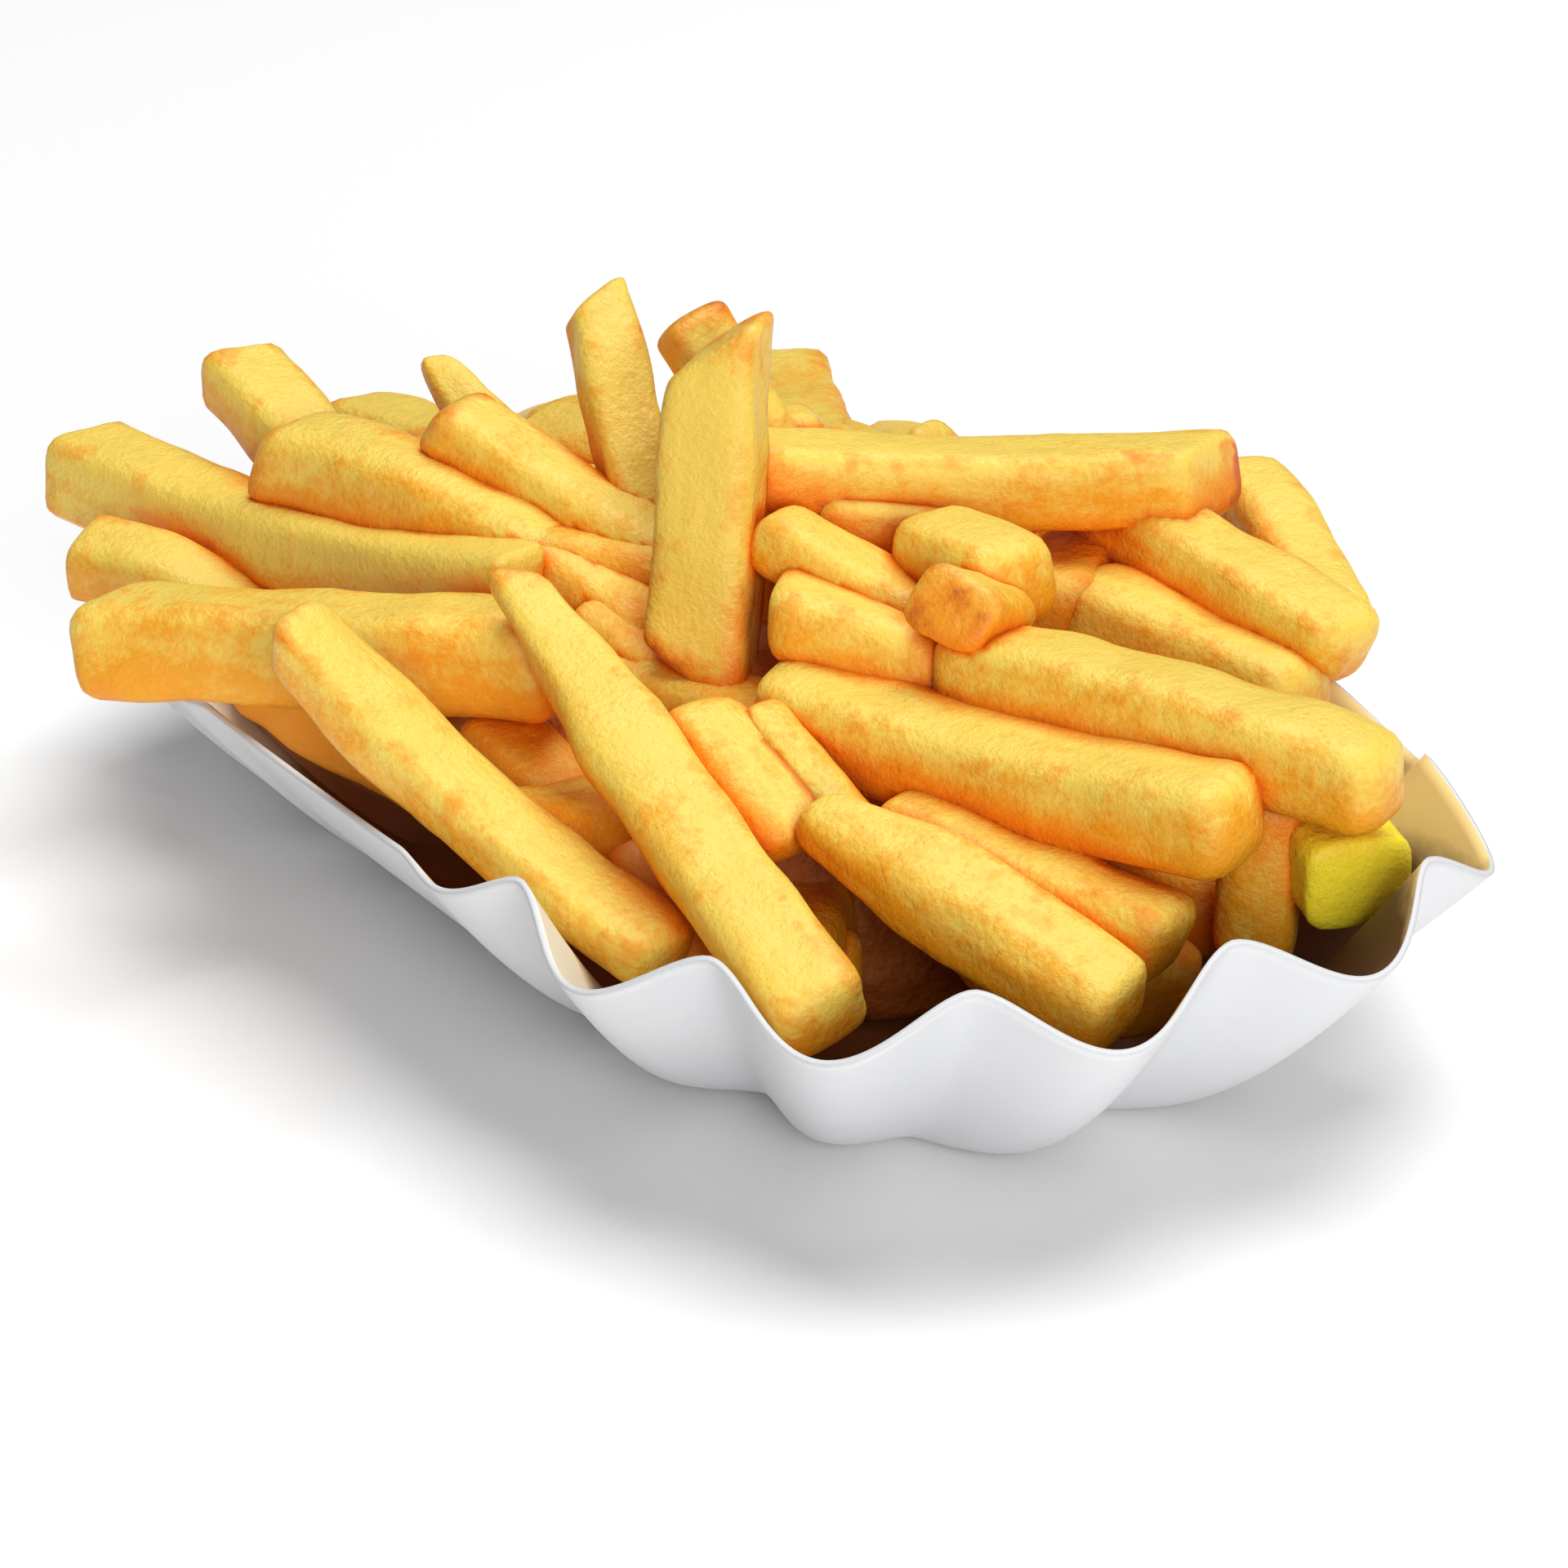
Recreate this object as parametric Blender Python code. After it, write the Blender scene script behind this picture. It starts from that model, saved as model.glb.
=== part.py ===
"""Thick-cut french fries heaped in a shallow fluted paper tray.

Sizes are in millimetres and turned to metres at the end. The long axis is X and the flat underside is on
Z = 0. The near end, where the fries fan out, is +X.
"""
import math

import bmesh
import bpy
import numpy as np
from mathutils import Vector

MM = 0.001

# Paper tray
RIM_LENGTH = 182.5
RIM_WIDTH = 99.0
RIM_POWER = 3.0
BASE_LENGTH = 127.0
BASE_WIDTH = 48.0
BASE_POWER = 3.4
RIM_HEIGHT = 25.1
WALL = 0.7
COLUMNS = 160
WALL_LEVELS = (0.0, 0.14, 0.32, 0.52, 0.7, 0.86, 1.0)
PAPER_COLOUR = (0.86, 0.86, 0.84, 1.0)

# Flutes of the tray's two ends; the base has a share of the rim's swing
FLUTE_PITCH = 26.3
FLUTE_SWING = 1.8
FLUTE_AT_BASE = 0.6
FLUTE_DROP = 2.75
FLUTED_REACH = 78.0
FLUTE_FADE = 20.0

# Fries
FRY_COLOUR = (0.85, 0.52, 0.11, 1.0)
CORNER = 0.26
POINT_SHARE = 0.35
STATIONS = ((0.0, 0.70), (0.045, 1.0), (0.35, 1.04), (0.68, 1.0), (0.955, 0.96), (1.0, 0.66))

# Rings of the packed middle of the heap: height, length, width and shift of the centre along X
CORE_RINGS = (
    (1.2, 96, 34, -8),
    (6.0, 102, 44, -10),
    (12.0, 104, 54, -12),
    (20.0, 98, 60, -12),
    (27.0, 82, 50, -12),
    (32.0, 58, 34, -10),
    (35.0, 32, 16, -6),
)
CORE_SIDES = 28

# Each fry: one end's centre, the other end's centre, width, thickness, roll in degrees, upward bow and, where
# the first end is special, the share of the width left there and its cut's slant for each millimetre across
LEFT_FRIES = (
    ((-73, -41, 36), (-4.5, -20.5, 38), 10.5, 9.5, 0, -2.6, 1, 0.2),
    ((-55, -47, 32), (-35, -36, 25.4), 8, 7, 15, 1.9),
    ((-28, -57, 32.5), (17, -13.5, 33.5), 11, 10.5, 0, 0, 1, 0.5),
    ((-35, -38, 22.5), (6, -25, 16), 9, 8, 0, 0),
    ((-40, -30, 21), (-2, -27, 16), 9, 8, 0, 0),
    ((-68, -12, 21), (-20, -20, 24), 10, 10, 0, 0),
    ((-41, -31, 44), (8.5, -12, 31), 10.5, 9.5, 0, 2.5),
    ((-64, -25, 46.5), (-38.5, -24, 37), 9.5, 8, 0, 0, 1, 0.1),
    ((-26, -18, 49.5), (4.5, -2.5, 35), 8.5, 7, 0, 0),
    ((-42.5, -11, 50.5), (-16, -8, 30), 7, 5, 20, 0, 0.5, 0.5),
    ((-10, -18, 38), (8, 2, 36), 9, 8, 0, 0),
)
FRONT_FRIES = (
    ((4, -50, 42), (42.5, -31.2, 18.2), 9, 7.5, 10, -3.6),
    ((9.5, -28.5, 44), (64.5, -27, 17.5), 9.5, 8, 15, -1.6, 0.7, 0.7),
    ((2, -29, 25), (38.5, -23.5, 12.5), 9, 8, 0, 0),
    ((28, -20, 33.5), (43.5, -18, 25.5), 9.5, 7.5, 0, 0),
    ((33, -15.5, 32.5), (46.5, -14.5, 25), 6.5, 6, 0, 0),
    ((50, -15.5, 27.5), (78.5, -4.5, 18), 9, 7.5, 15, 0, 0.7),
    ((26, -9, 32.5), (74.5, 11.5, 31.5), 10.5, 9.5, 5, -1.4),
    ((44.5, -7, 25), (73.5, 4, 20.5), 9.5, 9, 0, 0),
    ((-1, -16, 34), (18, -6, 24), 9, 8, 0, 0),
    ((22, -37, 23), (18, -12, 20), 9, 8, 0, 0),
    ((52, -25, 16), (34, -10, 13), 9, 8, 0, 0),
    ((36, -17, 27), (30, -2, 24), 8, 8, 0, 0),
    ((14, -16, 13), (46, -16, 11), 10, 9, 0, 0),
    ((16, 6, 13), (66, 9, 11), 10, 9, 0, 0),
    ((28, 3, 15), (60, 1, 12), 9, 8, 0, 0),
)
RIGHT_FRIES = (
    ((37.5, 4, 37), (79.5, 24, 33.5), 10.5, 9.5, 0, 1),
    ((66.5, 20.5, 31), (65.5, 19.5, 13), 9, 8, 0, 0),
    ((54, 30, 26.5), (76.5, 24, 22), 10.5, 9.5, 0, 0),
    ((40.5, 2, 44), (38, 12.5, 38.5), 8.5, 7, 20, 0),
    ((23, 9.5, 43.5), (37.5, 10.5, 45), 10, 9, 0, 0),
    ((19.5, 1, 47.5), (28, 7, 45.5), 7, 6, 0, 0),
    ((20, -4.5, 47.5), (38.5, -1.5, 44), 8.5, 7.5, 0, 0),
    ((23, -7, 40.5), (36.5, 5, 35.5), 9, 8, 0, 0),
    ((8.5, -2.5, 50.5), (28, 43.5, 45.5), 9.5, 7.5, 0, -1.2),
    ((18, 35, 42), (51, 41.5, 33.5), 10.5, 9.5, 0, 0),
    ((17, 52.5, 40), (44, 46, 33), 8, 7, 0, 0),
    ((27, 27, 35), (52, 36, 30), 10, 9, 0, 0),
    ((14, 20, 16), (60, 22, 14), 10, 9, 0, 0),
)
TOP_FRIES = (
    ((11.5, -5.5, 65), (13.5, -10.5, 31), 10.5, 8.5, -20, 0, 0.8, -0.7),
    ((-5.5, 0, 62), (8, 7.5, 40), 7.5, 6.5, 30, 0),
    ((-3, 9, 50), (3, 24, 28), 8, 7, 0, 0),
    ((-24, -1, 60), (-5, -4.5, 36), 7.5, 5.5, 0, 1.5, 0.9, -0.6),
    ((-1, 24, 46), (18, 34, 28), 7, 6, 0, 0),
    ((3, 10, 49), (10, 19, 34), 8, 7, 0, 0),
)
FAR_FRIES = (
    ((-80, -4, 31), (-30, 6, 32), 11, 10, 0, 0),
    ((-75, 20, 28), (-26, 14, 29), 11, 10, 10, 0),
    ((-62, 44, 32), (-14, 20, 35), 11, 10, 0, 0),
    ((-31, 43, 32), (-2, 8, 38), 10, 10, 0, 0),
    ((-9, 52, 32), (14, 14, 38), 11, 10, 0, 0),
    ((-68, 10, 21), (-22, 26, 25), 10, 10, 0, 0),
    ((-50, 28, 22), (-4, 33, 25), 10, 10, 0, 0),
    ((-6, 33, 24), (36, 34, 23), 10, 10, 0, 0),
    ((-72, -6, 20), (-24, 4, 22), 10, 9, 0, 0),
    ((-52, 6, 35), (-12, 16, 35), 10, 9, 20, 0),
    ((-45, 33, 33), (-4, 30, 36), 10, 9, 0, 0),
    ((-22, 2, 40), (12, 30, 38), 10, 9, 10, 0),
    ((4, 46, 36), (28, 22, 35), 9, 9, 0, 0),
)


def clear_scene():
    """Removes every object the file opened with."""
    for thing in list(bpy.data.objects):
        bpy.data.objects.remove(thing, do_unlink=True)


def material(name, colour, roughness):
    """A plain material of one colour."""
    made = bpy.data.materials.new(name)
    made.use_nodes = True
    shader = made.node_tree.nodes["Principled BSDF"]
    shader.inputs["Base Color"].default_value = colour
    shader.inputs["Roughness"].default_value = roughness
    shader.inputs["Metallic"].default_value = 0.0
    return made


def object_from(bm, name, collection=None):
    """Writes a bmesh in millimetres to a new object in metres."""
    bmesh.ops.scale(bm, verts=bm.verts, vec=(MM, MM, MM))
    bmesh.ops.recalc_face_normals(bm, faces=bm.faces)
    mesh = bpy.data.meshes.new(name)
    bm.to_mesh(mesh)
    bm.free()
    made = bpy.data.objects.new(name, mesh)
    (collection or bpy.context.scene.collection).objects.link(made)
    return made


def superellipse(length, width, power, count):
    """Evenly spaced points of a rounded oval from its +X end, their outward normals and the way to each."""
    turn = np.linspace(0.0, 2.0 * math.pi, 4001)
    across = np.abs(np.cos(turn) / (length / 2)) ** power + np.abs(np.sin(turn) / (width / 2)) ** power
    radius = across ** (-1.0 / power)
    fine = np.column_stack([radius * np.cos(turn), radius * np.sin(turn)])
    run = np.concatenate([[0.0], np.cumsum(np.linalg.norm(np.diff(fine, axis=0), axis=1))])
    where = np.arange(count) / count * run[-1]
    points = np.column_stack([np.interp(where, run, fine[:, k]) for k in range(2)])
    along = np.roll(points, -1, axis=0) - np.roll(points, 1, axis=0)
    along /= np.linalg.norm(along, axis=1)[:, None]
    normals = np.column_stack([along[:, 1], -along[:, 0]])
    return points, normals, where, run[-1]


def flute_wave(where, around):
    """How far each rim point is pushed out, from -1 to 1: waves at both ends that fade along the sides."""
    from_end = (where + around / 4) % (around / 2) - around / 4
    fade = np.clip((FLUTED_REACH + FLUTE_FADE - np.abs(from_end)) / FLUTE_FADE, 0.0, 1.0)
    return -np.cos(2.0 * math.pi * from_end / FLUTE_PITCH) * fade


def make_tray():
    """The paper tray: a flat oval base and a flared wall with flutes that deepen towards the rim."""
    base, _, _, _ = superellipse(BASE_LENGTH, BASE_WIDTH, BASE_POWER, COLUMNS)
    rim, normals, where, around = superellipse(RIM_LENGTH, RIM_WIDTH, RIM_POWER, COLUMNS)
    wave = flute_wave(where, around)
    bm = bmesh.new()
    rings = []
    for level in WALL_LEVELS:
        out, rise, drop = level ** 0.85, level ** 1.25, level ** 1.1
        swing = FLUTE_SWING * (FLUTE_AT_BASE + (1 - FLUTE_AT_BASE) * level)
        plan = base * (1 - out) + rim * out + normals * (swing * wave)[:, None]
        height = RIM_HEIGHT * rise - FLUTE_DROP * drop * wave
        rings.append([bm.verts.new((x, y, z)) for (x, y), z in zip(plan, height)])
    bm.faces.new(rings[0])
    for low, high in zip(rings, rings[1:]):
        for k in range(COLUMNS):
            after = (k + 1) % COLUMNS
            bm.faces.new((low[k], low[after], high[after], high[k]))
    tray = object_from(bm, "tray")
    shell = tray.modifiers.new("paper", "SOLIDIFY")
    shell.thickness = WALL * MM
    shell.offset = -1.0
    shell.use_even_offset = True
    tray.data.materials.append(material("paper", PAPER_COLOUR, 0.6))
    return tray


def make_core(collection):
    """The packed middle of the heap, which the fries that show are fused on."""
    bm = bmesh.new()
    rings = []
    for height, length, width, shift in CORE_RINGS:
        points, _, _, _ = superellipse(length, width, 2.6, CORE_SIDES)
        rings.append([bm.verts.new((x + shift, y, height)) for x, y in points])
    for low, high in zip(rings, rings[1:]):
        for k in range(CORE_SIDES):
            after = (k + 1) % CORE_SIDES
            bm.faces.new((low[k], low[after], high[after], high[k]))
    bm.faces.new(rings[0])
    bm.faces.new(rings[-1])
    return object_from(bm, "core", collection)


def make_fry(collection, start, end, width, thickness, roll, bow, point=1.0, slant=0.0):
    """One fry: a bar with cut-off corners and slightly narrower ends, bowed by up to a few millimetres."""
    start, end = Vector(start), Vector(end)
    along = (end - start).normalized()
    side = Vector((0, 0, 1)).cross(along).normalized()
    top = along.cross(side)
    turn = math.radians(roll)
    side, top = side * math.cos(turn) + top * math.sin(turn), top * math.cos(turn) - side * math.sin(turn)
    near = 0.5 - CORNER
    right_half = ((near, -0.5), (0.5, -near), (0.5, near), (near, 0.5))
    section = right_half + tuple((-x, -y) for x, y in right_half)
    bm = bmesh.new()
    rings = []
    for share, swell in STATIONS:
        swell *= min(1.0, point + (1.0 - point) * share / POINT_SHARE)
        lean = slant * max(0.0, 1 - share / POINT_SHARE)
        centre = start.lerp(end, share) + top * (4 * bow * share * (1 - share))
        ring = []
        for x, y in section:
            across, up = x * width * swell, y * thickness * swell
            ring.append(bm.verts.new(centre + side * across + top * up + along * (lean * across)))
        rings.append(ring)
    for low, high in zip(rings, rings[1:]):
        for k in range(len(section)):
            after = (k + 1) % len(section)
            bm.faces.new((low[k], low[after], high[after], high[k]))
    bm.faces.new(rings[0])
    bm.faces.new(rings[-1])
    return object_from(bm, "fry", collection)


def keep_outer_body(mesh):
    """Keeps the largest closed surface: sealed hollows fill up and loose scraps go."""
    bm = bmesh.new()
    bm.from_mesh(mesh)
    waiting = set(bm.faces)
    bodies = []
    while waiting:
        body = [waiting.pop()]
        for face in body:
            for edge in face.edges:
                for other in edge.link_faces:
                    if other in waiting:
                        waiting.discard(other)
                        body.append(other)
        bodies.append(body)
    bodies.sort(key=len)
    spare = [face for body in bodies[:-1] for face in body]
    if spare:
        bmesh.ops.delete(bm, geom=spare, context="FACES")
    bm.to_mesh(mesh)
    bm.free()


def make_fries():
    """The heap as one body: every fry that shows is fused with the packed middle by one Boolean union."""
    pieces = bpy.data.collections.new("fry pieces")
    bpy.context.scene.collection.children.link(pieces)
    for row in LEFT_FRIES + FRONT_FRIES + RIGHT_FRIES + TOP_FRIES + FAR_FRIES:
        make_fry(pieces, *row)
    heap = make_core(bpy.context.scene.collection)
    heap.name = "fries"
    union = heap.modifiers.new("fuse", "BOOLEAN")
    union.operation = "UNION"
    union.operand_type = "COLLECTION"
    union.collection = pieces
    union.solver = "EXACT"
    evaluated = heap.evaluated_get(bpy.context.evaluated_depsgraph_get())
    fused = bpy.data.meshes.new_from_object(evaluated)
    heap.modifiers.remove(union)
    heap.data = fused
    for piece in list(pieces.objects):
        bpy.data.objects.remove(piece, do_unlink=True)
    bpy.data.collections.remove(pieces)
    keep_outer_body(fused)
    fused.materials.clear()
    fused.materials.append(material("fry", FRY_COLOUR, 0.5))
    return heap


def main():
    clear_scene()
    make_tray()
    make_fries()


main()
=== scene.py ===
"""Thick-cut french fries heaped in a fluted white paper tray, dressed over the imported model.

Lengths are in millimetres where a name or comment says so, and are turned to metres when a mesh is made.
"""
import math
import random
from collections import namedtuple
from types import SimpleNamespace

import bmesh
import bpy
import numpy as np
from mathutils import Matrix, Vector, noise
from mathutils.bvhtree import BVHTree

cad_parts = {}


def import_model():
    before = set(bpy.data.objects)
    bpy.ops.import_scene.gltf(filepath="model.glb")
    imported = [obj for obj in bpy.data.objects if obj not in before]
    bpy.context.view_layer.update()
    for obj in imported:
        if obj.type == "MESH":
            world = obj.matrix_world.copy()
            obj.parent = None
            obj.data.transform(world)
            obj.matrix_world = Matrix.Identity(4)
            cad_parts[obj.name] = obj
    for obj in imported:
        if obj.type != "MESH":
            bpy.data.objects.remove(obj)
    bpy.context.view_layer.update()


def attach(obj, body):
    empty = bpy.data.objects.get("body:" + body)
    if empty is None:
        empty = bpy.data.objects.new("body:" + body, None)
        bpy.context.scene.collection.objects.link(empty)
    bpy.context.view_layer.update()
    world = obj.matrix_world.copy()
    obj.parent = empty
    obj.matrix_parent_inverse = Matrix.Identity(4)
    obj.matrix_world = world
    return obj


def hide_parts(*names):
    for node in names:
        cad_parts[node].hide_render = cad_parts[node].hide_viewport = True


MM = 0.001

# Camera, fitted to the tray's rim in the photograph
FRAME_PIXELS = 1920
FOCAL_PIXELS = 5298
SENSOR = 36.0
CAMERA_AZIMUTH = 59.9
CAMERA_ELEVATION = 22.6
CAMERA_ROLL = -1.83
CAMERA_DISTANCE = 430.4
CAMERA_TARGET = (23.1, -6.9, 22.0)

# Stage in metres: the floor's width, each light's place, size and power in watts, and the surround's strength
FLOOR_SIZE = 6.0
LIT_POINT = (0.0, 0.0, 0.03)
KEY_LIGHT = ((-0.1, 0.45, 2.0), 1.6, 43.0)
FRONT_LIGHT = ((1.65, -0.5, 0.5), 0.9, 20.0)
SURROUND = 0.1

# Paper tray, as in the part, with slightly deeper flutes and sharper folds between them
RIM_LENGTH = 182.5
RIM_WIDTH = 99.0
RIM_POWER = 3.0
BASE_LENGTH = 127.0
BASE_WIDTH = 48.0
BASE_POWER = 3.4
RIM_HEIGHT = 25.1
FLUTE_PITCH = 26.3
FLUTE_SWING = 2.0
FLUTE_AT_BASE = 0.85
FLUTE_DROP = 2.75
FLUTED_REACH = 78.0
FLUTE_FADE = 20.0
FOLD_SHARPNESS = 0.82
PAPER = 0.6
TRAY_COLUMNS = 720
TRAY_LEVELS = 28
RIM_WOBBLE = 0.35
WOBBLE_LENGTH = 17.0
LEVEL_SPREAD = 0.9
FLARE_POWER = 0.85
RISE_POWER = 1.25
DROP_POWER = 1.1

# Rings of the heap's packed middle: height, length, width and shift of the centre along X, in millimetres
CORE_RINGS = (
    (1.4, 94, 32, -8),
    (6.0, 100, 42, -10),
    (12.0, 102, 52, -12),
    (20.0, 96, 58, -12),
    (27.0, 80, 48, -12),
    (32.0, 56, 32, -10),
    (34.6, 30, 14, -6),
)
CORE_POWER = 2.6
CORE_SIDES = 72
CORE_BETWEEN = 6

# A fry: the centres of both ends, width, thickness, roll in degrees and upward bow, in millimetres as in
# the part. Point is the share of the width that is left at the first end. Slant and last_slant say how far
# the cut at each end leans for each millimetre across. The rest is for looks: bow to the side, width at the
# last end against the first, how golden it is from 0 to 1, with lemon far below 0, how browned each end is,
# how square the section is and how far the cut ends are rounded.
Fry = namedtuple(
    "Fry",
    "start end width thickness roll bow point slant last_slant sway taper tone browned square blunt",
    defaults=(0, 0, 1, 0, 0, 0, 1, None, None, None, None),
)
# The fries that lie low or buried in the heap have a high tone, up to 1, which is painted shade
LEFT_FRIES = (
    Fry((-73, -41, 36), (-2, -22, 39), 10.5, 9.5, bow=-2.6, slant=0.2,
        taper=0.75, tone=-0.1, browned=(0.1, 0.2), square=4.6, blunt=1.4),
    Fry((-55.8, -48.4, 31.8), (-35, -35.4, 26), 8, 7, roll=15, bow=1.9,
        tone=0.25, browned=(0.3, 0.7), square=4.6, blunt=1.2),
    Fry((-28, -57, 32.5), (9, -24.5, 34.7), 11, 10.5, slant=0.5,
        tone=0.45, browned=(0.3, 0.3), square=4.2, blunt=2.2),
    Fry((-35, -38, 22.5), (6, -25, 16), 9, 8, tone=1.0),
    Fry((-40, -30, 21), (-2, -27, 16), 9, 8, tone=1.0),
    Fry((-68, -12, 21), (-20, -20, 24), 10, 10, tone=0.9),
    Fry((-44, -29.3, 42.8), (5.5, -10, 31.3), 10.5, 9.5, bow=3.5,
        tone=0.4, browned=(0.8, 0.3), square=3.6, blunt=2.8),
    Fry((-64, -25, 46.5), (-38.5, -24, 37), 9.5, 8, slant=0.1,
        tone=0.15, browned=(0.25, 0.2), square=4.4, blunt=1.6),
    Fry((-26, -18, 49.5), (4.5, -2.5, 35), 8.5, 7, tone=0.3, browned=(0.7, 0.2), square=3.6, blunt=2.4),
    Fry((-42.5, -11, 50.5), (-16, -8, 30), 7, 5, roll=20, point=0.5, slant=0.5,
        tone=0.1, browned=(0.0, 0.2)),
    Fry((-10, -18, 38), (8, 2, 36), 9, 8, tone=1.0, browned=(0.5, 0.5)),
)
FRONT_FRIES = (
    Fry((4, -50, 42), (43.1, -31.6, 17.1), 9, 7.5, roll=10, bow=-3.6,
        tone=0.15, browned=(0.5, 0.3), square=3.8, blunt=2.6, sway=0.5),
    Fry((9.5, -28.5, 44), (64.5, -27, 17.5), 9.5, 8, roll=15, bow=-1.6, point=0.5, slant=0.9,
        taper=0.94, tone=0.1, browned=(0.6, 0.4), blunt=2.2),
    Fry((2, -29, 25), (38.5, -23.5, 12.5), 9, 8, tone=1.0, browned=(0.5, 0.5)),
    Fry((28, -20, 33.5), (43.5, -18, 25.5), 9.5, 7.5, tone=0.4, browned=(0.3, 0.2), square=3.0, blunt=3.0),
    Fry((30, -13.5, 33.2), (48, -12.3, 24.4), 6.5, 6.5, tone=0.6, browned=(0.3, 0.2), square=2.8, blunt=2.4),
    Fry((46, -17.5, 29.5), (78.5, -4.5, 18), 9, 7.5, roll=15, point=0.55,
        tone=0.55, browned=(0.3, 0.0), square=3.4, blunt=2.0),
    Fry((26, -9, 32.5), (74.5, 11.5, 31.5), 10.5, 9.5, roll=5, bow=-1.4,
        tone=0.25, browned=(0.1, 0.0), square=3.8, blunt=3.4),
    Fry((44.5, -7, 25), (73.5, 4, 20.5), 9.5, 9, tone=0.8, browned=(0.3, 0.1), square=3.2, blunt=3.0),
    Fry((-1, -16, 34), (18, -6, 24), 9, 8, tone=0.6, browned=(0.4, 0.4)),
    Fry((22, -37, 23), (18, -12, 20), 9, 8, tone=1.0, browned=(0.5, 0.5)),
    Fry((52, -25, 16), (34, -10, 13), 9, 8, tone=1.0, browned=(0.7, 0.5)),
    Fry((36, -17, 27), (30, -2, 24), 8, 8, tone=1.0),
    Fry((14, -16, 13), (46, -16, 11), 10, 9, tone=1.0),
    Fry((16, 6, 13), (66, 9, 11), 10, 9, tone=1.0),
    Fry((28, 3, 15), (60, 1, 12), 9, 8, tone=1.0),
)
RIGHT_FRIES = (
    Fry((37.5, 4, 37), (79.5, 24, 33.5), 10.5, 9.5, bow=1,
        tone=0.3, browned=(0.6, 0.05), square=3.6, blunt=3.2),
    Fry((66.5, 20.5, 31), (65.5, 19.5, 13), 9, 8, tone=0.5, browned=(0.2, 0.2), square=3.4),
    Fry((54, 30, 26.7), (76.4, 23.8, 22.6), 11, 9.5, tone=-3.0, browned=(-0.3, -0.3), square=4.8, blunt=1.0),
    Fry((41.7, 1.3, 44.4), (35.5, 9.3, 40.1), 9.5, 7.5, roll=20,
        tone=0.4, browned=(0.8, 0.0), square=3.4, blunt=1.0),
    Fry((23, 9.5, 43.5), (37, 13, 42.5), 10.5, 10, tone=0.5, browned=(0.2, 0.05), square=3.4, blunt=3.2),
    Fry((13, 3.5, 45.5), (20, 19, 42.5), 7, 6, tone=0.4, browned=(0.3, 0.3), square=3.0, blunt=2.0),
    Fry((16, -4, 46), (32, 6.5, 37.5), 8, 7, tone=0.35, browned=(0.3, 0.3), square=3.6),
    Fry((23, -7, 40.5), (36.5, 5, 35.5), 9, 8, tone=0.25, browned=(0.3, 0.3), square=3.8),
    Fry((8.5, -2.5, 50.5), (28, 42.5, 45.5), 9.5, 7.5, bow=-1.2, last_slant=0.8,
        taper=1.2, tone=0.25, browned=(0.2, 0.05), square=4.4, blunt=1.4),
    Fry((18, 35, 42), (51, 41.5, 33.5), 10.5, 9.5, tone=0.45, browned=(0.2, 0.0), square=3.6, blunt=2.6),
    Fry((17, 54, 40), (44, 46, 33), 8, 7, tone=-0.1, browned=(0.0, 0.1)),
    Fry((27, 27, 35), (52, 36, 30), 10, 9, tone=0.2, browned=(0.2, 0.1), square=3.6, blunt=2.6),
    Fry((14, 20, 16), (60, 22, 14), 10, 9, tone=1.0),
)
TOP_FRIES = (
    Fry((11.5, -5.5, 65), (13.5, -10.5, 31), 10.5, 8.5, roll=-20, point=0.8, slant=-0.7, last_slant=0.7,
        tone=-0.55, browned=(0.5, 1.4), square=6.0, blunt=1.2),
    Fry((-5.5, 0, 62), (8, 7.5, 40), 7.5, 6.5, roll=30,
        tone=0.3, browned=(0.7, 0.2), square=4.4, blunt=1.2),
    Fry((-3, 9, 50), (3, 24, 28), 8, 7, tone=0.2, browned=(0.1, 0.2)),
    Fry((-24, -1, 60), (-5, -4.5, 36), 7.5, 5.5, bow=1.5, point=0.9, slant=-0.6,
        tone=0.1, browned=(0.0, 0.3), square=5.0, blunt=1.0),
    Fry((-1, 24, 46), (18, 34, 28), 7, 6, tone=0.4),
    Fry((3, 10, 49), (10, 19, 34), 8, 7, tone=0.6),
)
FAR_FRIES = (
    Fry((-80, -4, 31), (-30, 6, 32), 11, 10),
    Fry((-75, 20, 28), (-26, 14, 29), 11, 10, roll=10),
    Fry((-62, 44, 32), (-14, 20, 35), 11, 10),
    Fry((-31, 43, 32), (-2, 8, 38), 10, 10),
    Fry((-9, 52, 32), (14, 14, 38), 11, 10),
    Fry((-68, 10, 21), (-22, 26, 25), 10, 10),
    Fry((-50, 28, 22), (-4, 33, 25), 10, 10),
    Fry((-6, 33, 24), (36, 34, 23), 10, 10),
    Fry((-72, -6, 20), (-24, 4, 22), 10, 9),
    Fry((-52, 6, 35), (-12, 16, 35), 10, 9, roll=20),
    Fry((-45, 33, 33), (-4, 30, 36), 10, 9),
    Fry((-22, 2, 40), (12, 30, 38), 10, 9, roll=10),
    Fry((4, 46, 36), (28, 22, 35), 9, 9),
)
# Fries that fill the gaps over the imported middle
PACKED_FRIES = (
    Fry((-46, -12, 31.5), (-10, -9, 35), 9.5, 8.5, tone=0.6),
    Fry((-40, -2, 33.5), (-4, 1, 36.5), 9.5, 8.5, roll=15, tone=0.5),
    Fry((20, 4, 33), (48, 22, 27), 9.5, 8.5, tone=0.7),
    Fry((2, -17, 29), (26, -7, 27.5), 9.5, 9, tone=0.9),
    Fry((-24, -19, 31), (2, -9, 32), 9, 8, tone=0.8),
    Fry((32, -4, 27), (58, 12, 24), 9, 9, tone=0.8),
)
POINT_SHARE = 0.35
SLANT_REACH = 14.0
FRY_SIDES = 32
FRY_STATIONS = 34

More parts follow.
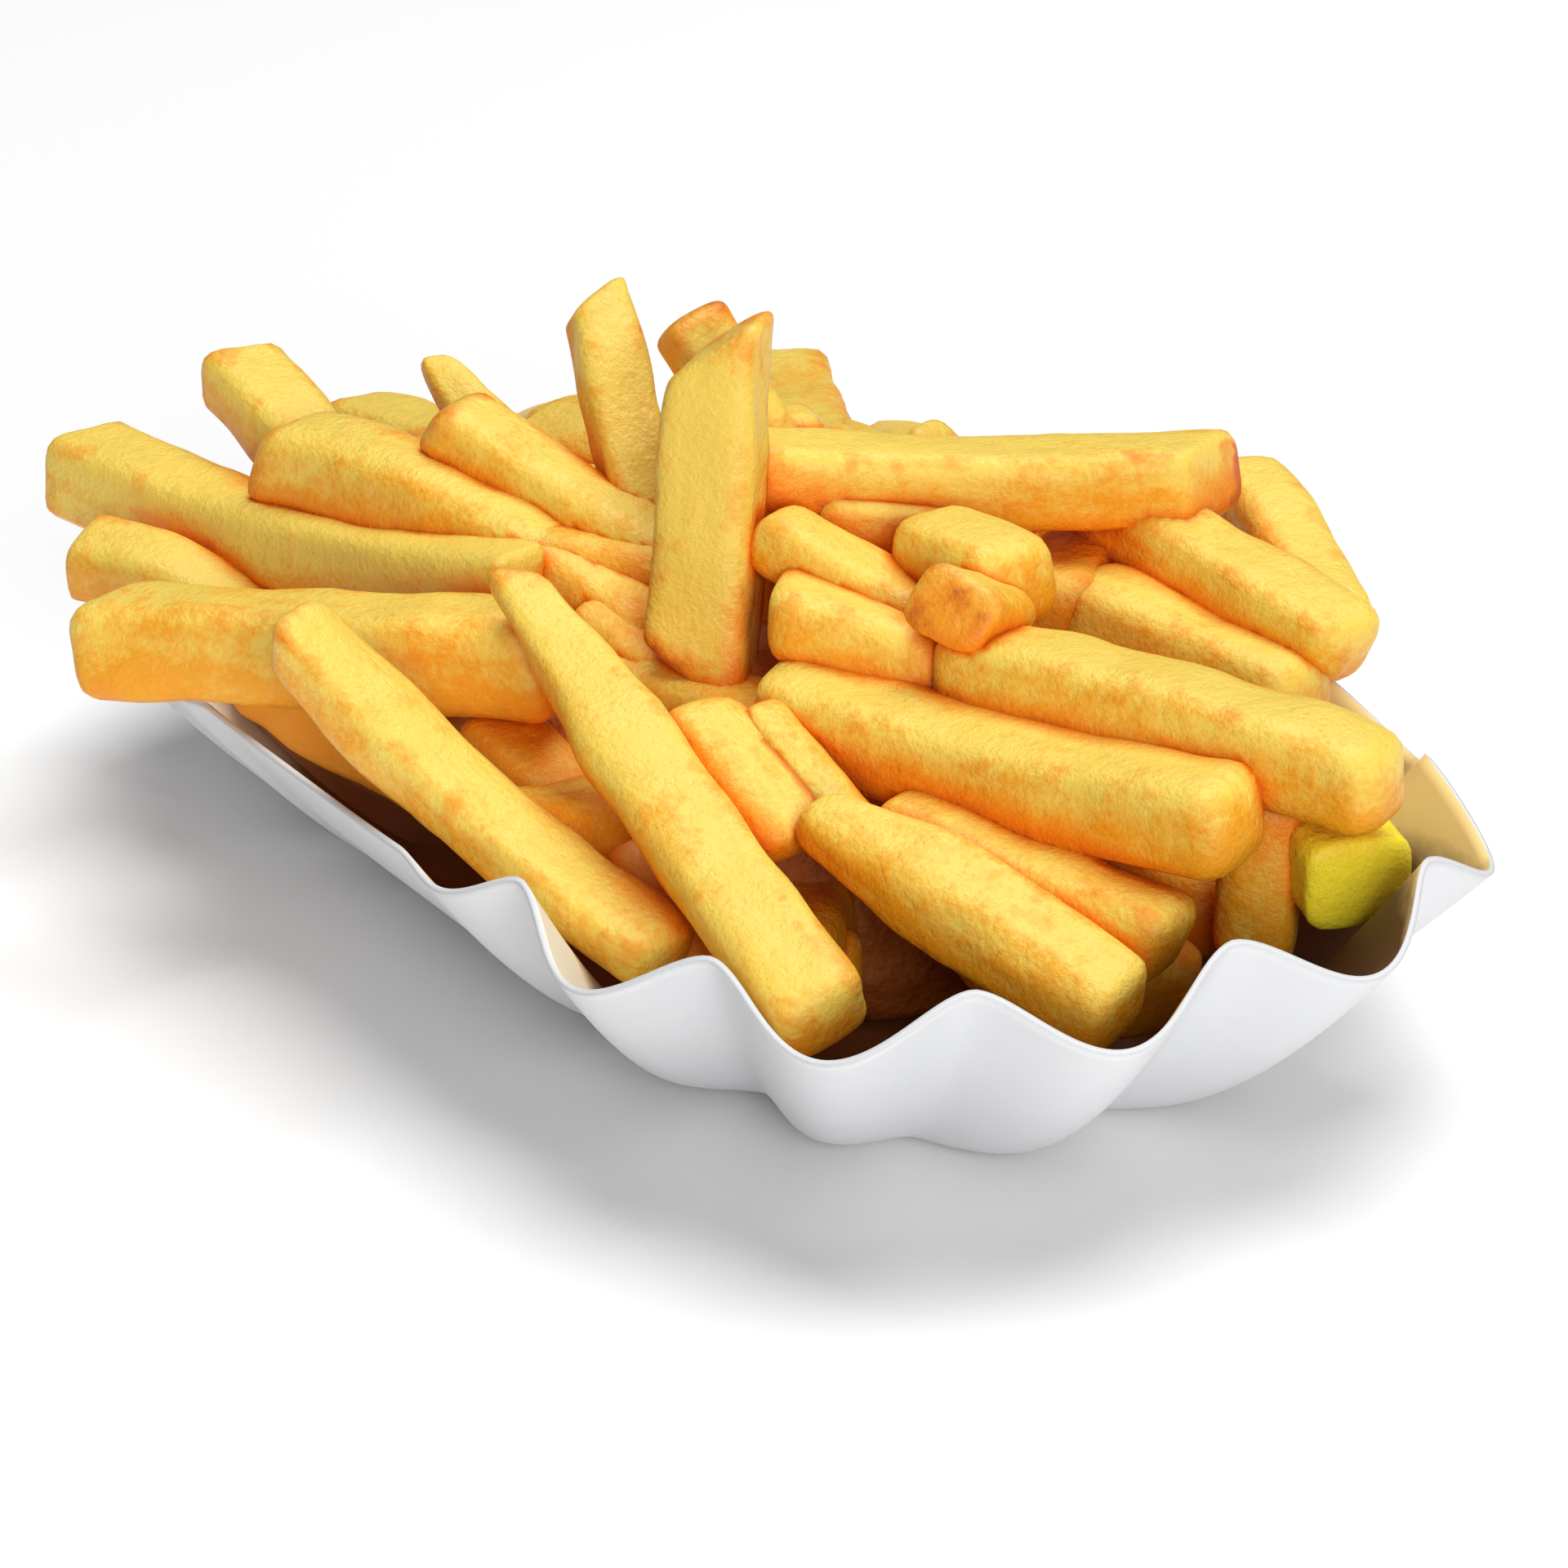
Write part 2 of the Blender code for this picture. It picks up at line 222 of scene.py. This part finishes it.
# A fry's surface in millimetres: slow swelling along it, lumps, grit and lengthwise ridges
SWELL_SHARE = 0.045
SWELL_LENGTH = 13.0
LUMP_RELIEF = 0.55
LUMP_SIZE = 8.5
GRIT_RELIEF = 0.13
GRIT_SIZE = 3.0
RIDGE_RELIEF = 0.19
RIDGE_LENGTH = 11.0
RIDGE_WIDTH = 1.5

# Its colours: more golden on ridges and, as painted shade, on faces turned down or aside from the light;
# browner at corners and ends
PAINTED_SHADE_LEVEL = 0.42
SIDE_PAINTED_SHADE = 0.8
RIDGE_TONE = 0.55
CORNER_BROWN = 0.38
END_REACH = 5.0
SPECKLE_BROWN = 0.35
SPECKLE_SIZE = 5.5
RIDGE_BROWN = 0.25

# A cut end: each ring's place along the rounding, in shares of its depth, and its size
CAP_RINGS = ((-0.22, 0.2), (-0.17, 0.45), (-0.08, 0.64), (0.03, 0.76), (0.22, 0.88), (0.55, 0.97), (1.0, 1.0))

# How shut in a point of the heap is, which the fry material paints as shade: rays fanned round its normal,
# out to a reach in millimetres
SHELTER_REACH = 13.0
SHELTER_START = 0.2
SHELTER_FADE = 0.6
SHELTER_RAYS = ((0.0, 1), (38.0, 4), (66.0, 5))


def superellipse(length, width, power, count):
    """Evenly spaced points of a rounded oval from its +X end, their outward normals and the way to each."""
    turn = np.linspace(0.0, 2.0 * math.pi, 8001)
    across = np.abs(np.cos(turn) / (length / 2)) ** power + np.abs(np.sin(turn) / (width / 2)) ** power
    radius = across ** (-1.0 / power)
    fine = np.column_stack([radius * np.cos(turn), radius * np.sin(turn)])
    run = np.concatenate([[0.0], np.cumsum(np.linalg.norm(np.diff(fine, axis=0), axis=1))])
    where = np.arange(count) / count * run[-1]
    points = np.column_stack([np.interp(where, run, fine[:, k]) for k in range(2)])
    along = np.roll(points, -1, axis=0) - np.roll(points, 1, axis=0)
    along /= np.linalg.norm(along, axis=1)[:, None]
    normals = np.column_stack([along[:, 1], -along[:, 0]])
    return points, normals, where, run[-1]


def grid_faces(rows, columns):
    """Quads of a grid whose rows are closed rings."""
    faces = []
    for row in range(rows - 1):
        for k in range(columns):
            after = (k + 1) % columns
            low, high = row * columns, (row + 1) * columns
            faces.append((low + k, low + after, high + after, high + k))
    return faces


def mesh_object(name, points, faces):
    """A smooth mesh object from points in millimetres."""
    mesh = bpy.data.meshes.new(name)
    mesh.from_pydata([tuple(point) for point in np.asarray(points) * MM], [], faces)
    mesh.validate()
    bm = bmesh.new()
    bm.from_mesh(mesh)
    bmesh.ops.recalc_face_normals(bm, faces=bm.faces)
    bm.to_mesh(mesh)
    bm.free()
    mesh.polygons.foreach_set("use_smooth", [True] * len(mesh.polygons))
    made = bpy.data.objects.new(name, mesh)
    bpy.context.scene.collection.objects.link(made)
    return made


class Nodes:
    """A short way to write a material's node tree."""

    def __init__(self, name):
        self.material = bpy.data.materials.new(name)
        self.material.use_nodes = True
        self.tree = self.material.node_tree
        self.shader = self.tree.nodes["Principled BSDF"]

    def add(self, kind, inputs=None, **settings):
        """A node, with its settings, and its inputs given as values or as sockets to link."""
        node = self.tree.nodes.new(kind)
        for key, value in settings.items():
            setattr(node, key, value)
        for key, value in (inputs or {}).items():
            self.feed(node.inputs[key], value)
        return node

    def feed(self, socket, value):
        """Sets a socket's value, or links another socket to it."""
        if isinstance(value, bpy.types.NodeSocket):
            self.tree.links.new(value, socket)
        else:
            socket.default_value = value

    def attribute(self, name):
        """A value stored on the mesh's points."""
        return self.add("ShaderNodeAttribute", attribute_name=name).outputs["Fac"]

    def place(self):
        """The surface's own place, in metres."""
        return self.add("ShaderNodeTexCoord").outputs["Object"]

    def noise(self, where, scale, detail=4.0, roughness=0.55):
        """Noise from 0 to 1 at so many cells a metre."""
        inputs = {"Vector": where, "Scale": scale, "Detail": detail, "Roughness": roughness}
        return self.add("ShaderNodeTexNoise", inputs).outputs["Fac"]

    def ramp(self, value, low, high, start=0.0, end=1.0):
        """Maps low..high of a value to start..end and stays there outside it."""
        inputs = {"Value": value, "From Min": low, "From Max": high, "To Min": start, "To Max": end}
        return self.add("ShaderNodeMapRange", inputs, clamp=True).outputs["Result"]

    def math(self, operation, first, second=0.0):
        """One sum of two values."""
        return self.add("ShaderNodeMath", {0: first, 1: second}, operation=operation).outputs[0]

    def mix(self, share, first, second, blend="MIX"):
        """One colour over another by a share."""
        node = self.add("ShaderNodeMix", data_type="RGBA", blend_type=blend)
        for key, value in (("Factor_Float", share), ("A_Color", first), ("B_Color", second)):
            self.feed(next(socket for socket in node.inputs if socket.identifier == key), value)
        return next(socket for socket in node.outputs if socket.identifier == "Result_Color")

    def bump(self, height, distance, strength=1.0, normal=None):
        """Relief of so many metres from a height of 0 to 1."""
        node = self.add("ShaderNodeBump", {"Height": height, "Distance": distance, "Strength": strength})
        if normal:
            self.feed(node.inputs["Normal"], normal)
        return node.outputs["Normal"]


def colour(red, green, blue):
    """A linear colour from a screen colour of 0 to 255."""
    parts = []
    for value in (red, green, blue):
        share = value / 255
        parts.append(share / 12.92 if share <= 0.04045 else ((share + 0.055) / 1.055) ** 2.4)
    return (*parts, 1.0)


PALE = colour(242, 208, 90)
GOLD = colour(241, 163, 28)
LEMON = colour(255, 232, 50)
CRISP = colour(238, 148, 32)
BROWN = colour(190, 90, 28)
# Painted shade where fries lie close together: orange, then dark brown
PAINTED_SHADE_WARM = colour(242, 136, 18)
PAINTED_SHADE_DEEP = colour(204, 92, 26)
# The heap's middle, painted darker as shade
CORE_PAINTED_SHADE_LIGHT = colour(222, 132, 46)
CORE_PAINTED_SHADE_DARK = colour(160, 74, 28)
PAPER_LIGHT = colour(221, 221, 222)
PAPER_DARK = colour(213, 214, 216)
# Painted shade inside the tray
LINING_PAINTED_SHADE_TAN = colour(176, 112, 62)
LINING_PAINTED_SHADE_DARK = colour(92, 66, 46)
LINING_WHITE = colour(250, 247, 230)
LINING_CREAM = colour(240, 212, 142)
FLOOR_WHITE = (0.98, 0.98, 0.98, 1.0)


def fry_material():
    """Fried potato: pale gold faces, gold and brown where it is crisp, with painted shade: more golden on
    faces turned from the light, orange to dark brown where fries lie together.
    """
    nodes = Nodes("fried_potato")
    where = nodes.place()
    patches = nodes.noise(where, 85.0, 3.0)
    mottle = nodes.noise(where, 430.0, 4.0, 0.62)
    grain = nodes.noise(where, 1500.0, 3.0, 0.6)
    # The tone on the mesh is each fry's own tone, with painted shade on faces turned from the light
    tone = nodes.attribute("tone")
    golden = nodes.math("ADD", tone, nodes.ramp(patches, 0.3, 0.7, -0.3, 0.35))
    golden = nodes.math("ADD", golden, nodes.ramp(mottle, 0.35, 0.7, -0.25, 0.3))
    golden = nodes.math("ADD", golden, nodes.ramp(grain, 0.35, 0.7, -0.24, 0.26))
    flesh = nodes.mix(nodes.ramp(golden, 0.0, 1.0), PALE, GOLD)
    flesh = nodes.mix(nodes.ramp(tone, -1.1, -1.5), flesh, LEMON)
    edge = nodes.math("ADD", nodes.attribute("crisp"), nodes.ramp(mottle, 0.4, 0.75, -0.12, 0.34))
    fried = nodes.mix(nodes.ramp(edge, 0.3, 0.85), flesh, CRISP)
    fried = nodes.mix(nodes.ramp(edge, 0.8, 1.25), fried, BROWN)
    # Painted shade: orange, then dark brown, where a point is shut in by other fries; lemon fries take a
    # quarter of it
    shelter = nodes.math("ADD", nodes.attribute("shelter"), nodes.ramp(patches, 0.3, 0.7, -0.06, 0.06))
    painted_shade_share = nodes.ramp(tone, -1.5, -1.1, 0.25, 1.0)
    with_painted_shade = nodes.mix(nodes.math("MULTIPLY", nodes.ramp(shelter, 0.2, 0.6), painted_shade_share), fried, PAINTED_SHADE_WARM)
    with_dark_painted_shade = nodes.mix(nodes.math("MULTIPLY", nodes.ramp(shelter, 0.58, 0.9), painted_shade_share), with_painted_shade, PAINTED_SHADE_DEEP)
    nodes.feed(nodes.shader.inputs["Base Color"], with_dark_painted_shade)
    nodes.feed(nodes.shader.inputs["Roughness"], nodes.ramp(mottle, 0.3, 0.7, 0.34, 0.56))
    nodes.shader.inputs["Subsurface Weight"].default_value = 0.15
    nodes.shader.inputs["Subsurface Radius"].default_value = (1.0, 0.45, 0.12)
    nodes.shader.inputs["Subsurface Scale"].default_value = 0.003
    nodes.shader.inputs["Specular IOR Level"].default_value = 0.35
    coarse = nodes.bump(mottle, 0.0006, 0.6)
    nodes.feed(nodes.shader.inputs["Normal"], nodes.bump(grain, 0.0003, 0.7, coarse))
    return nodes.material


def core_material():
    """The shaded middle of the heap: the same food, painted darker orange-brown as shade."""
    nodes = Nodes("fried_potato_painted_shade")
    mottle = nodes.noise(nodes.place(), 180.0, 4.0)
    nodes.feed(nodes.shader.inputs["Base Color"], nodes.mix(mottle, CORE_PAINTED_SHADE_LIGHT, CORE_PAINTED_SHADE_DARK))
    nodes.shader.inputs["Roughness"].default_value = 0.6
    nodes.feed(nodes.shader.inputs["Normal"], nodes.bump(mottle, 0.0025))
    return nodes.material


def paper_material():
    """Smooth white paperboard with a faint fibre."""
    nodes = Nodes("white_paperboard")
    where = nodes.place()
    cloud = nodes.noise(where, 60.0, 3.0)
    fibre = nodes.noise(where, 2200.0, 3.0, 0.7)
    nodes.feed(nodes.shader.inputs["Base Color"], nodes.mix(cloud, PAPER_LIGHT, PAPER_DARK))
    nodes.shader.inputs["Roughness"].default_value = 0.6
    nodes.feed(nodes.shader.inputs["Normal"], nodes.bump(fibre, 0.00008, 0.5))
    return nodes.material


def lining_material():
    """The tray's inside: cream at the rim, painted shade towards the bottom, darkest at the near end."""
    nodes = Nodes("paperboard_painted_shade")
    where = nodes.place()
    axes = nodes.add("ShaderNodeSeparateXYZ", {"Vector": where})
    along, across, height = (axes.outputs[axis] for axis in ("X", "Y", "Z"))
    cloud = nodes.noise(where, 130.0, 4.0)
    # Painted shade below about 14.5 to 18.5 mm, lower on the near side, higher on the far side and at the
    # near end
    level = nodes.math("ADD", height, nodes.ramp(cloud, 0.3, 0.7, -0.0015, 0.0015))
    level = nodes.math("SUBTRACT", level, nodes.ramp(across, -0.045, 0.02, -0.006, 0.004))
    near_end = nodes.math("MULTIPLY", nodes.ramp(along, 0.066, 0.078), nodes.ramp(across, 0.034, 0.026))
    level = nodes.math("SUBTRACT", level, nodes.math("MULTIPLY", near_end, 0.006))
    # The painted shade is tan, turning dark brown towards the near end
    lining_painted_shade = nodes.mix(nodes.ramp(along, 0.03, 0.07), LINING_PAINTED_SHADE_TAN, LINING_PAINTED_SHADE_DARK)
    unshaded_lining = nodes.mix(nodes.ramp(across, -0.04, -0.01), LINING_WHITE, LINING_CREAM)
    lining_with_painted_shade = nodes.mix(nodes.ramp(level, 0.0145, 0.0185), lining_painted_shade, unshaded_lining)
    nodes.feed(nodes.shader.inputs["Base Color"], lining_with_painted_shade)
    nodes.shader.inputs["Roughness"].default_value = 0.55
    nodes.feed(nodes.shader.inputs["Normal"], nodes.bump(cloud, 0.0002, 0.5))
    return nodes.material


def floor_material():
    """A plain white table top."""
    nodes = Nodes("table_top")
    nodes.shader.inputs["Base Color"].default_value = FLOOR_WHITE
    nodes.shader.inputs["Roughness"].default_value = 0.8
    nodes.shader.inputs["Specular IOR Level"].default_value = 0.2
    return nodes.material


def flute_wave(where, around):
    """How far each rim point is pushed out, from -1 to 1: waves at both ends that fade along the sides."""
    from_end = (where + around / 4) % (around / 2) - around / 4
    fade = np.clip((FLUTED_REACH + FLUTE_FADE - np.abs(from_end)) / FLUTE_FADE, 0.0, 1.0)
    lobe = 0.5 - 0.5 * np.cos(2.0 * math.pi * from_end / FLUTE_PITCH)
    return (2.0 * lobe ** FOLD_SHARPNESS - 1.0) * fade


def make_tray():
    """The paper tray with fine flutes, as one thin closed shell, white outside and lined with cream, with
    painted shade low inside.
    """
    base, _, _, _ = superellipse(BASE_LENGTH, BASE_WIDTH, BASE_POWER, TRAY_COLUMNS)
    rim, normals, where, around = superellipse(RIM_LENGTH, RIM_WIDTH, RIM_POWER, TRAY_COLUMNS)
    wave = flute_wave(where, around)
    wobble = np.array([noise.noise(Vector((x / WOBBLE_LENGTH, y / WOBBLE_LENGTH, 3.7))) for x, y in rim])
    points = []
    for level in np.linspace(0.0, 1.0, TRAY_LEVELS) ** LEVEL_SPREAD:
        out, rise, drop = level ** FLARE_POWER, level ** RISE_POWER, level ** DROP_POWER
        swing = FLUTE_SWING * (FLUTE_AT_BASE + (1 - FLUTE_AT_BASE) * level)
        plan = base * (1 - out) + rim * out + normals * (swing * wave + RIM_WOBBLE * level * wobble)[:, None]
        height = RIM_HEIGHT * rise - FLUTE_DROP * drop * wave + RIM_WOBBLE * level ** 2 * wobble
        points.append(np.column_stack([plan, height]))
    faces = grid_faces(TRAY_LEVELS, TRAY_COLUMNS)
    faces.append(tuple(range(TRAY_COLUMNS)))
    tray = mesh_object("paper_tray", np.vstack(points), faces)
    shell = tray.modifiers.new("paper", "SOLIDIFY")
    shell.thickness = PAPER * MM
    shell.offset = -1.0
    shell.use_even_offset = True
    shell.material_offset = 1
    tray.data.materials.append(paper_material())
    tray.data.materials.append(lining_material())
    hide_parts("tray")
    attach(tray, "root")
    return tray


def make_core(material):
    """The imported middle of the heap, roughened like fries lying on each other."""
    rings = []
    heights = [ring[0] for ring in CORE_RINGS]
    count = (len(CORE_RINGS) - 1) * CORE_BETWEEN + 1
    for height in np.linspace(heights[0], heights[-1], count):
        sizes = [np.interp(height, heights, [ring[k] for ring in CORE_RINGS]) for k in (1, 2, 3)]
        length, width, shift = sizes
        points, _, _, _ = superellipse(length, width, CORE_POWER, CORE_SIDES)
        rings.append(np.column_stack([points[:, 0] + shift, points[:, 1], np.full(CORE_SIDES, height)]))
    faces = grid_faces(count, CORE_SIDES)
    faces.append(tuple(range(CORE_SIDES)))
    faces.append(tuple(range((count - 1) * CORE_SIDES, count * CORE_SIDES)))
    core = mesh_object("heap_core", np.vstack(rings), faces)
    core.data.materials.append(material)
    return core


def fry_stations(length, blunts):
    """Places along a fry in millimetres and the section's size there, with two rounded ends."""
    first = [(place * blunts[0], size) for place, size in CAP_RINGS]
    last = [(length - place * blunts[1], size) for place, size in reversed(CAP_RINGS)]
    between = np.linspace(blunts[0], length - blunts[1], FRY_STATIONS + 2)[1:-1]
    return first + [(place, 1.0) for place in between] + last


def fry_traits(row, rng):
    """What makes a fry its own: the values that its row gives, and chance for the rest."""
    traits = SimpleNamespace()
    traits.square = rng.uniform(3.2, 4.6) if row.square is None else row.square
    traits.uneven = rng.uniform(0.0, 0.35)
    traits.uneven_turn = rng.uniform(0.0, 2 * math.pi)
    traits.skew = rng.uniform(-0.09, 0.09)
    traits.twist = math.radians(rng.uniform(-8, 8))
    traits.slants = [[rng.uniform(-0.25, 0.25), rng.uniform(-0.25, 0.25)] for _ in range(2)]
    traits.slants[0][0] = traits.slants[0][0] * 0.4 + row.slant
    traits.slants[1][0] = traits.slants[1][0] * 0.4 + row.last_slant
    traits.seed = Vector((rng.uniform(-90, 90), rng.uniform(-90, 90), rng.uniform(-90, 90)))
    traits.tone = rng.uniform(0.1, 0.7) if row.tone is None else row.tone
    traits.browned = row.browned or tuple(rng.uniform(0.1, 0.6) for _ in range(2))
    blunts = []
    for _ in range(2):
        blunts.append(rng.uniform(1.6, 3.0) if row.blunt is None else row.blunt * rng.uniform(0.85, 1.1))
    traits.blunts = blunts
    traits.sway = row.sway + rng.uniform(-0.6, 0.6)
    traits.sunk = rng.uniform(0.0, 0.035)
    return traits


def fry_axes(row):
    """A fry's length and its directions along, to the side and to the top, with its roll."""
    line = Vector(row.end) - Vector(row.start)
    along = line.normalized()
    side = Vector((0, 0, 1)).cross(along).normalized()
    top = along.cross(side)
    turn = math.radians(row.roll)
    side, top = side * math.cos(turn) + top * math.sin(turn), top * math.cos(turn) - side * math.sin(turn)
    return line.length, along, side, top


def fry_shape(row, rng):
    """One fry's points, outward directions, tones with painted shade on faces turned from the light, and
    crispness, as a bar with soft edges and cut ends.
    """
    length, along, side, top = fry_axes(row)
    traits = fry_traits(row, rng)
    seed = traits.seed
    slant_reach = min(SLANT_REACH, length / 2)
    turns = [2 * math.pi * (k + 0.5) / FRY_SIDES for k in range(FRY_SIDES)]
    points, outwards, tones, crisps = [], [], [], []
    for place, size in fry_stations(length, traits.blunts):
        share = place / length
        from_cut = max(0.0, min(place, length - place))
        which = 0 if share < 0.5 else 1
        inside = min(1.0, max(0.0, share))
        size *= min(1.0, row.point + (1.0 - row.point) * inside / POINT_SHARE)
        size *= 1.0 + SWELL_SHARE * noise.noise(seed + Vector((place / SWELL_LENGTH, 0, 0)))
        size *= 1.0 + (row.taper - 1.0) * inside
        lean = [slant * max(0.0, 1 - from_cut / slant_reach) ** 1.5 for slant in traits.slants[which]]
        spin = traits.twist * (share - 0.5)
        arch = 4 * share * (1 - share)
        centre = Vector(row.start) + along * place + top * (row.bow * arch) + side * (traits.sway * arch)
        end_brown = traits.browned[which] * max(0.0, 1 - from_cut / END_REACH) ** 1.6
        for angle in turns:
            power = traits.square * (1 + traits.uneven * math.cos(2 * angle + traits.uneven_turn))
            reach = (abs(math.cos(angle)) ** power + abs(math.sin(angle)) ** power) ** (-1 / power)
            cornered = min(1.0, max(0.0, (reach - 1.0) / 0.2))
            reach *= 1 - traits.sunk * (1 - cornered)
            x, y = math.cos(angle + spin) * reach, math.sin(angle + spin) * reach
            x = (x + traits.skew * y) * 0.5 * row.width * size
            y = y * 0.5 * row.thickness * size
            outward = (side * x + top * y).normalized()
            spot = centre + side * x + top * y + along * (lean[0] * x + lean[1] * y)
            lump = LUMP_RELIEF * noise.noise(seed + spot / LUMP_SIZE)
            lump += GRIT_RELIEF * noise.noise(seed + spot / GRIT_SIZE)
            ridge = noise.noise(seed + Vector((place / RIDGE_LENGTH, x / RIDGE_WIDTH, y / RIDGE_WIDTH)))
            lump += RIDGE_RELIEF * ridge * min(1.0, from_cut / 2)
            if size < 0.9:
                outward = (outward * size - along * (1 - size) * (1 if which == 0 else -1)).normalized()
            points.append(spot + outward * lump)
            outwards.append(outward)
            # Painted shade: faces turned down or to the side get a more golden tone than faces turned up
            tones.append(traits.tone + SIDE_PAINTED_SHADE * (PAINTED_SHADE_LEVEL - outward.z) + RIDGE_TONE * ridge)
            crisp = CORNER_BROWN * cornered ** 2 * min(1.0, size) ** 6 + end_brown
            crisp += SPECKLE_BROWN * noise.noise(seed * 1.7 + spot / SPECKLE_SIZE)
            crisps.append(crisp + RIDGE_BROWN * max(0.0, ridge))
    return points, outwards, tones, crisps


def shelter(points, outwards, faces):
    """How shut in by the heap each point is, from 0 to 1, by rays fanned round its outward direction, for the
    fry's painted shade.
    """
    tree = BVHTree.FromPolygons(points, faces)
    fan = []
    for tilt, count in SHELTER_RAYS:
        lean = math.radians(tilt)
        for k in range(count):
            turn = 2 * math.pi * (k + 0.3) / count
            fan.append((math.sin(lean) * math.cos(turn), math.sin(lean) * math.sin(turn), math.cos(lean)))
    values = []
    for point, outward in zip(points, outwards):
        first = outward.orthogonal().normalized()
        second = outward.cross(first)
        origin = point + outward * SHELTER_START
        shut = 0.0
        for u, v, w in fan:
            hit = tree.ray_cast(origin, first * u + second * v + outward * w, SHELTER_REACH)
            if hit[0] is not None:
                shut += 1.0 - hit[3] / SHELTER_REACH * SHELTER_FADE
        values.append(shut / len(fan))
    return values


def make_fries(material):
    """Every fry of the heap, joined in one mesh."""
    rows = LEFT_FRIES + FRONT_FRIES + RIGHT_FRIES + TOP_FRIES + FAR_FRIES + PACKED_FRIES
    points, outwards, faces, tones, crisps = [], [], [], [], []
    for number, row in enumerate(rows):
        own_points, own_outwards, own_tones, own_crisps = fry_shape(row, random.Random(number + 11))
        first = len(points)
        points += own_points
        outwards += own_outwards
        tones += own_tones
        crisps += own_crisps
        count = len(own_points) // FRY_SIDES
        faces += [tuple(first + k for k in face) for face in grid_faces(count, FRY_SIDES)]
        faces.append(tuple(first + k for k in range(FRY_SIDES)))
        faces.append(tuple(first + (count - 1) * FRY_SIDES + k for k in range(FRY_SIDES)))
    sheltered = shelter(points, outwards, faces)
    fries = mesh_object("fries_heap", points, faces)
    for name, values in (("tone", tones), ("crisp", crisps), ("shelter", sheltered)):
        layer = fries.data.attributes.new(name, "FLOAT", "POINT")
        layer.data.foreach_set("value", values)
    fries.data.materials.append(material)
    return fries


def make_heap():
    """The real fries over their packed middle."""
    core = make_core(core_material())
    fries = make_fries(fry_material())
    for piece in (core, fries):
        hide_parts("fries")
        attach(piece, "root")


def camera_axes():
    """The camera's back, right and up directions, with its small roll."""
    turn, rise, roll = (math.radians(angle) for angle in (CAMERA_AZIMUTH, CAMERA_ELEVATION, CAMERA_ROLL))
    back = Vector((math.sin(turn) * math.cos(rise), -math.cos(turn) * math.cos(rise), math.sin(rise)))
    level = Vector((math.cos(turn), math.sin(turn), 0.0))
    up = back.cross(level)
    right = level * math.cos(roll) + up * math.sin(roll)
    return back, right, back.cross(right)


def make_camera():
    """The camera at the photograph's angle."""
    back, right, up = camera_axes()
    data = bpy.data.cameras.new("camera")
    data.sensor_width = SENSOR
    data.lens = FOCAL_PIXELS / FRAME_PIXELS * SENSOR
    data.clip_start = 0.01
    made = bpy.data.objects.new("camera", data)
    place = (Vector(CAMERA_TARGET) + back * CAMERA_DISTANCE) * MM
    made.matrix_world = Matrix.Translation(place) @ Matrix((right, up, back)).transposed().to_4x4()
    bpy.context.scene.collection.objects.link(made)
    bpy.context.scene.camera = made


def make_light(name, place, size, power):
    """A soft square light at a place in metres, turned to the heap."""
    data = bpy.data.lights.new(name, "AREA")
    data.size = size
    data.energy = power
    made = bpy.data.objects.new(name, data)
    aim = Vector(LIT_POINT) - Vector(place)
    made.matrix_world = Matrix.Translation(place) @ aim.to_track_quat("-Z", "Y").to_matrix().to_4x4()
    bpy.context.scene.collection.objects.link(made)


def make_stage():
    """A plain white floor, soft studio lights and a white surround."""
    bpy.ops.mesh.primitive_plane_add(size=FLOOR_SIZE)
    floor = bpy.context.object
    floor.name = "floor"
    floor.data.materials.append(floor_material())
    world = bpy.data.worlds.new("surround")
    world.use_nodes = True
    world.node_tree.nodes["Background"].inputs["Color"].default_value = (1.0, 1.0, 1.0, 1.0)
    world.node_tree.nodes["Background"].inputs["Strength"].default_value = SURROUND
    bpy.context.scene.world = world
    make_light("key", *KEY_LIGHT)
    make_light("front", *FRONT_LIGHT)
    bpy.context.scene.view_settings.view_transform = "Standard"


def main():
    """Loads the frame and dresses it."""
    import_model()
    make_tray()
    make_heap()
    make_camera()
    make_stage()


main()
